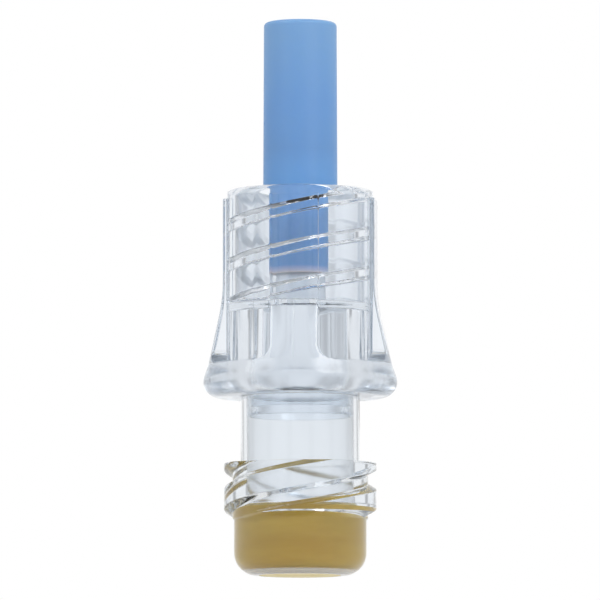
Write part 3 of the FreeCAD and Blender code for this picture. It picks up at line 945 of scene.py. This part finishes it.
@dataclass
class RubberSeptum:
    """The septum: a disc that fills the cup, pierced by a closed slit."""

    radius: float = 3.8
    face_radius: float = 2.68
    height: float = 4.64
    shoulder: float = 0.30
    rolled: float = 0.76
    edge: float = 0.2
    slit_half: float = 1.5
    slit_gap: float = 0.06
    columns: int = 192

    def build(self) -> Skin:
        """Lays rings from the slit's mouth over the face, up the side and back to the other mouth.

        A ring between the slit and the round face is the mean of both, weighted by a share: the slit's
        outline is a point that runs to and fro along a line, offset by half the gap to either side.
        """
        angle = 2 * math.pi / self.columns * (np.arange(self.columns) + 0.5)
        outline = rounded_path(
            [
                (self.face_radius - 0.1, 0.0, 0.0),
                (self.face_radius, 0.0, 0.05),
                (self.face_radius, self.shoulder, 0.04),
                (self.radius, self.shoulder, self.rolled),
                (self.radius, self.height - self.edge, 0.08),
                (self.radius - self.edge, self.height, 0.08),
                (self.radius - 2 * self.edge, self.height, 0.0),
            ],
            steps=6,
        )
        side = around(outline[:, :1], outline[:, 1:], angle[None])
        slit = np.stack(
            [self.slit_half * np.cos(angle), self.slit_gap / 2 * np.tanh(8 * np.sin(angle)), 0 * angle],
            axis=-1,
        )
        shares = np.array([0.0, 0.03, 0.15, 0.35, 0.6, 0.8, 0.92])[:, None, None]
        face = slit[None] * (1 - shares) + side[0][None] * shares
        dent = np.array([0.05, 0.015, 0.0, 0.0, 0.0, 0.0, 0.0])
        face[..., 2] = dent[:, None]
        back = slit[None] * (1 - shares[::-1]) + side[-1][None] * shares[::-1]
        back[..., 2] = self.height - dent[::-1][:, None]
        return Skin(np.concatenate([face, side, back]))


@dataclass
class ProtectorSleeve:
    """The blue tip protector: a slightly tapered sleeve with a closed end."""

    mouth: float = 19.74
    top: float = 36.5
    mouth_radius: float = 2.465
    top_radius: float = 2.4
    top_edge: float = 0.28
    bore_mouth: float = 2.206
    bore_tip: float = 1.973
    bore_step: float = 27.5
    bore_top: float = 35.5
    columns: int = 256

    def build(self) -> Skin:
        """Lays rings from the bore's closed end out over the mouth and up to the sleeve's closed end."""
        angle = 2 * math.pi / self.columns * np.arange(self.columns)[None]
        outline = rounded_path(
            [
                (0.3, self.bore_top, 0.0),
                (self.bore_tip, self.bore_top, 0.2),
                (self.bore_tip, self.bore_step, 0.0),
                (self.bore_mouth, self.mouth, 0.08),
                (self.mouth_radius, self.mouth, 0.08),
                (self.mouth_radius, self.mouth + 0.3, 0.0),
                (self.top_radius, self.top, self.top_edge),
                (0.3, self.top, 0.0),
            ],
            steps=8,
        )
        return Skin(around(outline[:, :1], outline[:, 1:], angle), looped=False)


@dataclass
class Studio:
    """The pale floor, the soft lights and the camera of the photograph's view.

    Light is followed over many mirrorings, because it runs up and down inside the clear walls.
    """

    bounces: int = 24
    elevation: float = -5.0
    distance: float = 0.5
    pixels_per_mm: float = 15.2
    frame_pixels: float = 600.0
    aim_height: float = 18.14
    aim_across: float = -0.02
    floor_drop: float = 0.05
    floor_hole: float = 2.8
    floor_grey: Colour = (0.86, 0.86, 0.86)
    floor_white: Colour = (0.95, 0.95, 0.95)
    floor_fade: tuple[float, float] = (0.03, 0.25)
    backdrop: Colour = (1.0, 1.0, 1.0)
    ambient: float = 0.75
    flag_count: int = 8
    flag_edge: tuple[float, float] = (-1.0, -0.4)
    flag_grey: float = 0.45

    def camera(self) -> None:
        """Stands the camera at the photograph's angle, with the lens that gives its scale on the axis."""
        lens = bpy.data.cameras.new("photo_camera")
        made = bpy.data.objects.new("photo_camera", lens)
        bpy.context.scene.collection.objects.link(made)
        rise = math.radians(self.elevation)
        back = Vector((0.0, -math.cos(rise), math.sin(rise)))
        aim = Vector((self.aim_across * MM, 0.0, self.aim_height * MM))
        made.location = aim + back * self.distance
        made.rotation_euler = (-back).to_track_quat("-Z", "Y").to_euler()
        width = self.frame_pixels / self.pixels_per_mm * MM
        lens.sensor_width = 36.0
        lens.lens = lens.sensor_width * self.distance / width
        lens.clip_start = 0.01
        lens.clip_end = 20.0
        bpy.context.scene.camera = made

    def floor(self) -> None:
        """Lays the pale floor just under the part, with a hole that the part covers.

        The photograph's view comes from below, so the floor is clear from its underside, and the hole
        lets light reach the face that the part stands on. Far off the floor turns as white as the
        surround, and the part's shadow lies on the near floor.
        """
        columns = 64
        angle = 2 * math.pi / columns * np.arange(columns)
        sizes = (self.floor_hole * MM, 0.1, 2.0)
        rings = [around(size, -self.floor_drop * MM, angle) for size in sizes]
        index = np.arange(len(sizes) * columns).reshape(len(sizes), columns)
        beside = np.roll(index, -1, axis=1)
        faces = np.stack([index[:-1], index[1:], beside[1:], beside[:-1]], axis=-1).reshape(-1, 4)
        sheet = bpy.data.meshes.new("studio_floor")
        sheet.from_pydata(np.concatenate(rings).tolist(), [], faces.tolist())
        made = bpy.data.objects.new("studio_floor", sheet)
        bpy.context.scene.collection.objects.link(made)
        material, shader, graph = new_material("pale_floor")
        shader.inputs["Base Color"].default_value = (*self.floor_grey, 1.0)
        shader.inputs["Roughness"].default_value = 0.9
        path = graph.add("ShaderNodeLightPath").outputs
        away = graph.add("ShaderNodeVectorMath")
        away.operation = "LENGTH"
        graph.feed(away.inputs[0], graph.place())
        far = graph.ramp(away.outputs["Value"], self.floor_fade, (0.0, 1.0), soft=True)
        through = graph.maths("MAXIMUM", path["Is Transmission Ray"], path["Is Glossy Ray"])
        through = graph.maths("MAXIMUM", through, graph.product(far, path["Is Camera Ray"]))
        white = graph.add("ShaderNodeEmission")
        white.inputs["Color"].default_value = (*self.floor_white, 1.0)
        seen = graph.choose(through, shader.outputs["BSDF"], white.outputs["Emission"])
        from_below = graph.add("ShaderNodeNewGeometry").outputs["Backfacing"]
        clear = graph.add("ShaderNodeBsdfTransparent").outputs["BSDF"]
        graph.feed(graph.material_output().inputs["Surface"], graph.choose(from_below, seen, clear))
        sheet.materials.append(material)

    def lamp(self, name: str, place: tuple[float, float, float], width: float, power: float) -> None:
        """Hangs a square soft light that faces the middle of the part."""
        light = bpy.data.lights.new(name, "AREA")
        light.size = width
        light.energy = power
        made = bpy.data.objects.new(name, light)
        bpy.context.scene.collection.objects.link(made)
        made.location = place
        aim = Vector((0.0, 0.0, self.aim_height * MM)) - made.location
        made.rotation_euler = aim.to_track_quat("-Z", "Y").to_euler()

    def sky(self) -> None:
        """Sets the white surround that shows behind and through the part, and a plain soft light."""
        world = bpy.data.worlds.new("studio_sky")
        bpy.context.scene.world = world
        world.use_nodes = True
        graph = Graph(world.node_tree.nodes, world.node_tree.links)
        graph.nodes.clear()
        path = graph.add("ShaderNodeLightPath").outputs
        seen = graph.maths("MAXIMUM", path["Is Camera Ray"], path["Is Transmission Ray"])
        shown = graph.maths("MAXIMUM", seen, path["Is Glossy Ray"])
        plain = graph.add("ShaderNodeBackground")
        plain.inputs["Color"].default_value = (1.0, 1.0, 1.0, 1.0)
        plain.inputs["Strength"].default_value = self.ambient
        white = graph.add("ShaderNodeBackground")
        white.inputs["Color"].default_value = (*self.backdrop, 1.0)
        graph.feed(white.inputs["Strength"], self.flags(graph, path["Is Transmission Ray"]))
        whole = graph.choose(shown, plain.outputs["Background"], white.outputs["Background"])
        graph.feed(graph.add("ShaderNodeOutputWorld").inputs["Surface"], whole)

    def flags(self, graph: Graph, through: Source) -> bpy.types.NodeSocket:
        """Hangs grey flags round the studio, which only the light through clear plastic meets.

        The flags' grey is a wave of the direction's azimuth, repeated as often as there are flags and
        lit where its cosine is high, so that it looks the same from each side.

        Args:
            graph: the world's graph.
            through: one for light that comes through clear plastic, and otherwise nought.

        Returns:
            The strength of the white surround in each direction.
        """
        parts = graph.split(graph.add("ShaderNodeTexCoord").outputs["Generated"])
        azimuth = graph.maths("ARCTAN2", parts["Y"], parts["X"])
        wave = graph.maths("COSINE", graph.product(azimuth, float(self.flag_count)))
        band = graph.ramp(wave, self.flag_edge, (self.flag_grey, 1.0), soft=True)
        return graph.maths("MAXIMUM", band, graph.without(through))

    def build(self) -> None:
        """Sets up the floor, the surround, the lamps and the camera."""
        self.floor()
        self.sky()
        paths = bpy.context.scene.cycles
        paths.max_bounces = self.bounces
        paths.glossy_bounces = self.bounces
        paths.transmission_bounces = self.bounces
        self.lamp("key_lamp", (0.25, -0.30, 0.28), 0.25, 0.9)
        self.lamp("fill_lamp", (-0.32, -0.22, 0.30), 0.25, 0.5)
        self.camera()


def main() -> None:
    """Builds the pieces in order round the frame, then the studio."""
    logging.basicConfig(level=logging.INFO, format="%(name)s: %(message)s")
    bpy.context.scene.view_settings.view_transform = "Standard"
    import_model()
    clear_body = ClearPlastic(
        "clear_body_plastic",
        dull_walls=((4.28, FLOOR - 0.01, 0.35), (3.6, FLANGE_UNDERSIDE, 0.35)),
        dull_foot=(FLANGE_UNDERSIDE - 0.02, LEDGE - 0.05, 0.18),
        # Painted dark reflection on the upper flanks of the inner thread.
        flanks=PaintedFlankReflection(radii=(3.62, 4.24), floor=FLOOR + 0.05, ceiling=RIM - 0.6),
    ).make()
    clear_cup = ClearPlastic(
        "clear_cup_plastic",
        dull_walls=((3.6, 1.0, 0.4),),
        surface=(0.90, 0.93, 0.96),
        frost=0.4,
    ).make()
    place_piece(Piece.SEPTUM, RubberSeptum().build(), TanRubber("tan_rubber").make())
    place_piece(Piece.HOUSING, ThreadedCup().build(), clear_cup)
    place_piece(Piece.COLLAR, LuerCollar().build(), clear_body)
    place_piece(Piece.PROTECTOR, ProtectorSleeve().build(), MilkyPlastic("milky_blue").make())
    Studio().build()


if __name__ == "__main__":
    main()
